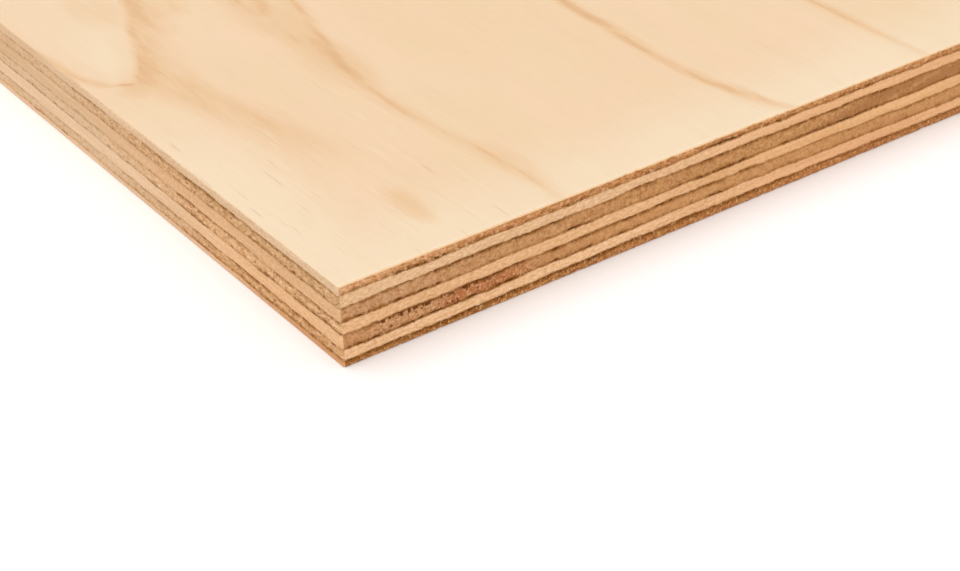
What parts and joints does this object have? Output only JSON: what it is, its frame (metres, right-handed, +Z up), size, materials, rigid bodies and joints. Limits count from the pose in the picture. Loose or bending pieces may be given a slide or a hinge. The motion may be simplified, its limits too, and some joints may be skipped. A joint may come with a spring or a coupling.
{
  "type": "plywood sheet",
  "caption": "Flat rectangular softwood plywood sheet with cross-banded veneers, their light and dark edges showing on all four sawn sides.",
  "frame": {"origin": "middle of the back face, on the floor that the sheet lies on", "axes": "+X along the sheet's length, the grain of the face veneer; +Y across the sheet; +Z up from the back face to the face"},
  "size_m": [2.44, 1.22, 0.018],
  "materials": {
    "sanded_face": "pale sanded pine with a flat-sawn figure, grain along the sheet",
    "lengthwise_veneer": "rotary-cut pine, grain along the sheet, rough end grain on the short edges",
    "crosswise_veneer": "rotary-cut pine, grain across the sheet, rough end grain on the long edges"
  },
  "bodies": {
    "root": {"face_veneer": "sanded_face", "upper_crossband": "crosswise_veneer", "upper_core": "lengthwise_veneer", "centre_crossband": "crosswise_veneer", "lower_core": "lengthwise_veneer", "lower_crossband": "crosswise_veneer", "back_veneer": "sanded_face"}
  },
  "joints": []
}
